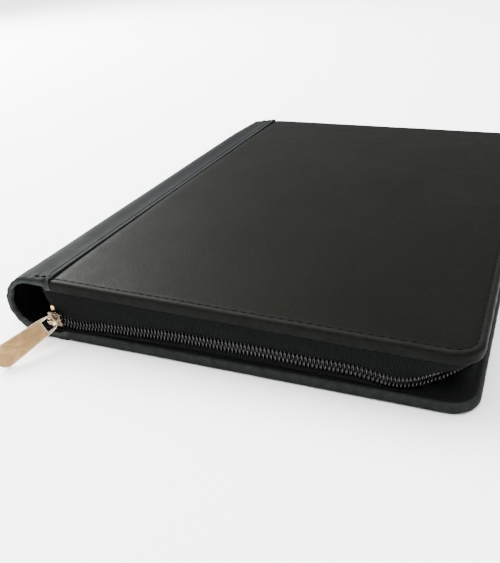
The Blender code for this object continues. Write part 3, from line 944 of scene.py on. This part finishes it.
def plate(shape, outline, low, high, hole=None):
    """Adds a flat piece to a bmesh: an x, z outline between two places on y, maybe with a hole."""
    loops = [outline] + ([hole] if hole else [])
    edges = []
    for loop in loops:
        ring = [shape.verts.new((x, low, z)) for x, z in loop]
        edges += [shape.edges.new((ring[n - 1], ring[n])) for n in range(len(ring))]
    filled = bmesh.ops.triangle_fill(shape, use_beauty=True, use_dissolve=False, edges=edges)
    faces = [item for item in filled["geom"] if isinstance(item, bmesh.types.BMFace)]
    pushed = bmesh.ops.extrude_face_region(shape, geom=faces)["geom"]
    moved = [item for item in pushed if isinstance(item, bmesh.types.BMVert)]
    bmesh.ops.translate(shape, verts=moved, vec=(0, high - low, 0))


def metal(name, shape, place, body, bevel, node, flat_finish=METAL, highlight_rims=()):
    """A gilt piece from a bmesh: soft edges, and the rims and narrow sides in a paler gilt than
    the flats, a painted highlight for their lit edges.
    """
    bmesh.ops.recalc_face_normals(shape, faces=shape.faces)
    for face in shape.faces:
        # Flat faces keep their own gilt; rims and narrow sides take the paler gilt, a painted
        # highlight.
        face.material_index = 0 if abs(face.normal.y) > 0.9 and face not in highlight_rims else 1
    mesh = bpy.data.meshes.new(name)
    shape.to_mesh(mesh)
    shape.free()
    mesh.transform(place)
    mesh.materials.append(flat_finish)
    mesh.materials.append(METAL_EDGE_HIGHLIGHT)
    made = bpy.data.objects.new(name, mesh)
    bpy.context.scene.collection.objects.link(made)
    edge = made.modifiers.new("soft_edges", "BEVEL")
    edge.width = bevel
    edge.segments = 3
    edge.limit_method = "ANGLE"
    edge.angle_limit = math.radians(35)
    # The bevels take the paler gilt as well: painted highlight on the soft edges.
    edge.material = 1
    mesh.shade_smooth()
    mesh.set_sharp_from_angle(angle=math.radians(60))
    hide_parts(node)
    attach(made, body)
    return made


# The slider, in its own axes: -X leads and -Y faces out, with the room that the coils need.
SLIDER_YAW = math.radians(10)
SLIDER_DROOP = math.radians(10)
CHANNEL = 2.42 * MM
SLIDER_PLATE = 0.9 * MM
BRIDGE_HIGH = 2.6 * MM
PULL_PIVOT = Vector(JOINTS["pull_swing"]["pos_m"])


def slider_place():
    turn = Matrix.Rotation(-SLIDER_YAW, 4, "Z") @ Matrix.Rotation(SLIDER_DROOP, 4, "X")
    off = turn @ Vector((0, -(CHANNEL + SLIDER_PLATE + BRIDGE_HIGH / 2), 0))
    return Matrix.Translation(PULL_PIVOT - off) @ turn


def slider():
    """Two shield-shaped plates with flanges, on a post, with the bridge on the outer one."""
    shape = bmesh.new()
    half = [(-4.4, 3.1), (-3.2, 4.6), (-0.4, 4.7), (2.2, 3.9), (5.0, 3.6)]
    notch = [(-3.1, -0.8), (-3.1, 0.8)]
    outline = rounded(both_sides(half) + in_mm(notch), 0.9 * MM)
    face = -CHANNEL - SLIDER_PLATE
    plate(shape, outline, face, -CHANNEL)
    plate(shape, outline, CHANNEL, CHANNEL + SLIDER_PLATE)
    post = rounded(in_mm([(-4.0, -0.5), (-1.4, -0.4), (-1.4, 0.4), (-4.0, 0.5)]), 0.2 * MM)
    plate(shape, post, -CHANNEL - 0.2 * MM, CHANNEL + 0.2 * MM)
    for side in (-1, 1):
        flange = in_mm([(0.4, side * 4.35), (4.9, side * 3.55), (4.9, side * 3.0),
                        (0.4, side * 3.8)])
        plate(shape, flange, -CHANNEL - 0.1 * MM, -CHANNEL + 0.9 * MM)
        plate(shape, flange, CHANNEL - 0.9 * MM, CHANNEL + 0.1 * MM)
    metal_bridge(shape, face)
    # The slider takes the darker gilt: painted shade.
    metal("slider", shape, slider_place(), "slider", 0.16 * MM, "slider_body", METAL_SHADED)


def metal_bridge(shape, face):
    """The arched bar on the slider's outer plate, which holds the pull tab."""
    steps = 12
    half_wide, thick, squareness = 1.05 * MM, 0.95 * MM, 0.62
    rings = []
    for n in range(steps + 1):
        angle = math.pi * n / steps
        cosine, sine = math.cos(angle), math.sin(angle)
        x = math.copysign(abs(cosine) ** squareness, cosine)
        rise_share = sine ** squareness
        ring = []
        for depth in (0.0, thick):
            across_x = (2.2 * MM + depth) * x
            out_y = face - (BRIDGE_HIGH + depth) * rise_share
            if n in (0, steps):
                out_y = face + 0.3 * MM
            ring.append((across_x, out_y))
        narrow = half_wide * (0.82 + 0.18 * rise_share)
        (inner_x, inner_y), (outer_x, outer_y) = ring
        rings.append([shape.verts.new(point) for point in (
            (inner_x, inner_y, -narrow), (inner_x, inner_y, narrow),
            (outer_x, outer_y, narrow), (outer_x, outer_y, -narrow))])
    for ring, following in zip(rings, rings[1:]):
        for n in range(4):
            m = (n + 1) % 4
            shape.faces.new((ring[n], ring[m], following[m], following[n]))
    shape.faces.new(rings[0])
    shape.faces.new(rings[-1])


PULL_ROLL = math.radians(-31)
PULL_SWING = math.radians(20)
PULL_THICK = 1.3 * MM
CREASE = 30.6 * MM
TIP_BEND = math.radians(-12)


def pull_tab():
    """The gold tab: a ring round the bridge, a plain face that widens, and a bent tip."""
    roll = Matrix.Rotation(PULL_ROLL, 4, "Y")
    turn = roll @ Matrix.Rotation(-PULL_SWING - math.pi / 2, 4, "Z")
    shape = bmesh.new()
    half = [(-0.7, 2.9), (0.9, 4.3), (6.3, 5.05), (30.6, 6.35), (34.0, 6.5), (36.3, 4.9),
            (37.7, 2.7)]
    window = [(0.75, 2.2), (1.6, 3.25), (6.1, 3.4), (6.1, -3.4), (1.6, -3.25), (0.75, -2.2)]
    hole = rounded(in_mm(window), 0.6 * MM)
    outline = rounded(both_sides(half), 1.3 * MM)
    plate(shape, outline, -PULL_THICK / 2, PULL_THICK / 2, hole)
    bmesh.ops.recalc_face_normals(shape, faces=shape.faces)
    for place in (CREASE - 0.3 * MM, CREASE + 0.3 * MM):
        everything = shape.verts[:] + shape.edges[:] + shape.faces[:]
        bmesh.ops.bisect_plane(shape, geom=everything, plane_co=(place, 0, 0), plane_no=(1, 0, 0))
    for vertex in shape.verts:
        past = vertex.co.x - CREASE
        if past > 0:
            vertex.co.x = CREASE + past * math.cos(TIP_BEND) - vertex.co.y * math.sin(TIP_BEND)
            vertex.co.y += past * math.sin(TIP_BEND)
    shape.normal_update()
    flats = [face for face in shape.faces if abs(face.normal.y) > 0.9]
    # The inset's border faces take the paler gilt: a painted highlight round the tab's rim.
    highlight_rims = set(bmesh.ops.inset_region(shape, faces=flats, thickness=0.65 * MM, depth=-0.14 * MM,
                                      use_even_offset=True)["faces"])
    metal("pull", shape, Matrix.Translation(PULL_PIVOT) @ turn, "pull", 0.12 * MM, "pull_tab",
          highlight_rims=highlight_rims)


def clamp(name, distance, height, body, node):
    """A small folded metal stop round the end of a coil."""
    shape = bmesh.new()
    corners = [(-1.15, -1.5), (1.15, -1.5), (1.15, 1.5), (-1.15, 1.5)]
    plate(shape, rounded(in_mm(corners), 0.5 * MM), -1.25 * MM, 1.25 * MM)
    spot = on_route(np.array([distance]), np.array([0.0]), np.array([height + rise(distance)]))[0]
    metal(name, shape, Matrix.Translation(Vector(spot)), body, 0.35 * MM, node)


def stops():
    coil_middle = (COIL_LOW + ZIP_MIDDLE) / 2 - 0.3 * MM
    coil_top = (COIL_HIGH + ZIP_MIDDLE) / 2 + 0.3 * MM
    place = 1.5 * MM
    clamp("lower_top_stop", place, coil_middle - 2.4 * MM, "back", "back_top_stop")
    clamp("upper_top_stop", 6.0 * MM, coil_top + 4.8 * MM, "front", "front_top_stop")
    clamp("zip_bottom_stop", ROUTE_LONG - place, coil_middle, "back", "bottom_stop")


# Inside the covers.

def inside_patch(cover, name, node, depth, finish, slot, thick=0.9 * MM, puff=0.0, edge=1.0 * MM,
                 margin=0.0, slack=0.0, seed=0.0):
    """A flat piece on a cover's inner side, over its CAD node: soft edges, a little slack."""
    low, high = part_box(node)
    hinge = FRONT_HINGE if cover is FRONT else BACK_HINGE
    tilt = TILT if cover is FRONT else 0.0
    start = (low.x - hinge.x) / math.cos(tilt) + margin
    end = (high.x - hinge.x) / math.cos(tilt) - margin
    near, far = low.y + margin, high.y - margin
    start = max(start, 0.6 * MM)

    def places(first, last):
        count = max(3, int((last - first) / (3 * MM)))
        inner = np.linspace(first + 2 * edge, last - 2 * edge, count)
        return np.concatenate([[first, first + 0.3 * edge, first + edge], inner,
                               [last - edge, last - 0.3 * edge, last]])

    across, down = places(start, end), places(near, far)
    u, v = np.meshgrid(across, down, indexing="ij")
    inset = np.minimum.reduce([u - start, end - u, v - near, far - v])
    radius = max(CORNER - (cover.reach - end), 0.5 * MM)
    past_u = np.clip(u - (end - radius), 0, None)
    past_v = np.clip(np.abs(v) - (min(far, -near) - radius), 0, None)
    round_off = np.maximum(past_u, past_v) / np.maximum(np.hypot(past_u, past_v), 1e-9)
    in_corner = (past_u > 0) & (past_v > 0) & (min(far, -near) > HALF - CORNER)
    round_off = np.where(in_corner, round_off, 1.0) - 1
    u, v = u + past_u * round_off, v + np.sign(v) * past_v * round_off
    over_edge = np.clip(inset / edge, 0, 1)
    rounding = np.sqrt(over_edge * (2 - over_edge))
    crown = np.sin(np.clip((u - start) / (end - start), 0, 1) * math.pi)
    crown *= np.sin(np.clip((v - near) / (far - near), 0, 1) * math.pi) ** 0.6
    flat = cover.at(u, v, 0 * u)
    soft = rough(flat, 30 * MM, seed=seed) * slack * np.clip(inset / (12 * MM), 0, 1)
    upper = depth + thick * (0.35 + 0.65 * rounding) + puff * crown + soft
    lower = depth + 0.6 * puff * crown + np.minimum(soft, 0)
    rows, columns = u.shape
    faces = grid_faces(rows, columns)
    if cover is BACK:
        faces = flipped(faces)
    outer = cover.at(u, v, upper).reshape(-1, 3)
    inner = cover.at(u, v, lower).reshape(-1, 3)
    wear_and_painted_light = np.concatenate([np.interp(inset, [0, 2 * MM], [0.7, 0.0]).ravel()] * 2)
    made = finished(name, *between(outer, inner, faces), finish, slot, 50, wear_and_painted_light)
    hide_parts(node)
    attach(made, cover.body)
    return made, (start, end, near, far), (end - start, far - near)


def border_stitches(cover, name, box, depth, sides, pitch=3.6 * MM):
    """Stitches just inside some sides of a patch: near, far, start or end."""
    start, end, near, far = box
    inset = 1.6 * MM
    lines = {
        "near": ((start, near + inset), (end, near + inset)),
        "far": ((start, far - inset), (end, far - inset)),
        "start": ((start + inset, near), (start + inset, far)),
        "end": ((end - inset, near), (end - inset, far)),
    }
    chosen = [cover.at(*np.transpose(lines[side]), np.full(2, depth)) for side in sides]
    threads(cover, name, chosen, pitch, cover.inward, 2.4 * MM, 0.22 * MM)


def inside():
    """Linings, pockets, the pad's sleeve and the pen loop."""
    lining_depth = COVER - 1.1 * MM
    for cover in (BACK, FRONT):
        name = f"{cover.body}_lining_cloth"
        made, box, size = inside_patch(cover, name, f"{cover.body}_lining", lining_depth, LINING,
                                       "lining", thick=1.1 * MM, slack=0.12 * MM)
    on_lining = COVER + 0.3 * MM
    pocket, box, size = inside_patch(FRONT, "document_pocket", "front_document_pocket", on_lining,
                                     LINING, "lining", thick=1.2 * MM, puff=5.0 * MM,
                                     slack=0.6 * MM, seed=4.0)
    border_stitches(FRONT, "document_pocket_stitches", box, on_lining + 1.1 * MM,
                    ("near", "start", "end"))
    for n in range(1, 4):
        node = f"front_card_pocket_{n}"
        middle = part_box(node)[0].lerp(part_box(node)[1], 0.5)
        from_hinge = np.array(middle) - FRONT.origin
        depth = float(from_hinge @ FRONT.inward) - 0.4 * MM
        made, box, size = inside_patch(FRONT, f"card_pocket_{n}", node, depth, INNER_LEATHER,
                                       "inner_leather", thick=0.85 * MM)
        border_stitches(FRONT, f"card_pocket_stitches_{n}", box, depth + 0.8 * MM,
                        ("near", "start", "end", "far"))
    made, box, size = inside_patch(BACK, "pad_sleeve", "back_pad_sleeve", on_lining,
                                   INNER_LEATHER, "inner_leather", thick=1.2 * MM,
                                   puff=1.6 * MM, slack=0.3 * MM, seed=2.0)
    border_stitches(BACK, "pad_sleeve_stitches", box, on_lining + 1.1 * MM,
                    ("near", "start", "end"))
    pen_loop()


def pen_loop():
    """A leather loop for a pen, sewn down beside the spine."""
    low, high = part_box("pen_loop")
    radius = (high.z - low.z) / 2 - 0.6 * MM
    centre_x, centre_z = (low.x + high.x) / 2, (low.z + high.z) / 2
    angles = np.radians(np.linspace(-62, 242, 40))
    down = np.linspace(low.y, high.y, 14)
    angle, place = np.meshgrid(angles, down, indexing="ij")
    soft = rough(np.stack([np.cos(angle) * 0.01, place, np.sin(angle) * 0.01], -1), 8 * MM)
    reach = radius + 0.15 * MM * soft
    points = np.stack([centre_x + reach * np.cos(angle), place,
                       centre_z + reach * np.sin(angle)], -1)
    faces = grid_faces(len(angles), len(down))
    made = sheet_solid("pen_loop_leather", points, faces, 1.0 * MM, INNER_LEATHER, "inner_leather",
                       np.full(points.size // 3, 0.3))
    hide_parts("pen_loop")
    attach(made, "back")


def boards():
    """A card in place of each cover's board, a little smaller than the board."""
    low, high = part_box("back_board")
    for cover in (BACK, FRONT):
        inside_patch(cover, f"{cover.body}_board_card", f"{cover.body}_board", low.z, BOARD,
                     "board", thick=high.z - low.z, edge=0.4 * MM, margin=6 * MM)


# The stage.

def area_light(name, place, aim, size, watts, colour):
    lamp = bpy.data.lights.new(name, "AREA")
    lamp.shape = "RECTANGLE"
    lamp.size, lamp.size_y = size
    lamp.energy = watts
    lamp.color = colour
    made = bpy.data.objects.new(name, lamp)
    made.location = place
    made.rotation_euler = (Vector(aim) - Vector(place)).to_track_quat("-Z", "Y").to_euler()
    bpy.context.scene.collection.objects.link(made)


def stage():
    bpy.ops.mesh.primitive_grid_add(x_subdivisions=2, y_subdivisions=2, size=60)
    floor = bpy.context.object
    floor.name = "table_top"
    floor.location.z = 0
    floor.data.materials.append(pale_floor("table"))

    world = bpy.data.worlds.new("studio")
    world.use_nodes = True
    background = world.node_tree.nodes["Background"]
    background.inputs["Color"].default_value = (0.90, 0.95, 1.0, 1)
    background.inputs["Strength"].default_value = 0.95
    bpy.context.scene.world = world

    area_light("window", (-1.7, 0.5, 1.1), (-0.2, 0, 0), (1.6, 1.0), 290, (0.98, 0.99, 1.0))
    area_light("ceiling", (-0.6, 1.2, 4.0), (-0.6, 1.2, 0), (7.0, 7.0), 1250, (1.0, 1.0, 1.0))


def camera():
    made = bpy.data.objects.new("camera", bpy.data.cameras.new("camera"))
    made.location = CAMERA_PLACE
    made.rotation_euler = [math.radians(turn) for turn in CAMERA_TURN]
    made.data.lens = CAMERA_LENS
    made.data.sensor_width = 36
    made.data.clip_start = 0.01
    bpy.context.scene.collection.objects.link(made)
    bpy.context.scene.camera = made


camera()
stage()
for each_cover in (BACK, FRONT):
    panel(each_cover)
    cover_stitches(each_cover)
    strip_stitches(each_cover)
spine_leather()
spine_lining()
tape("back", False)
tape("front", True)
coil("back", False)
coil("front", True)
slider()
pull_tab()
stops()
inside()
boards()
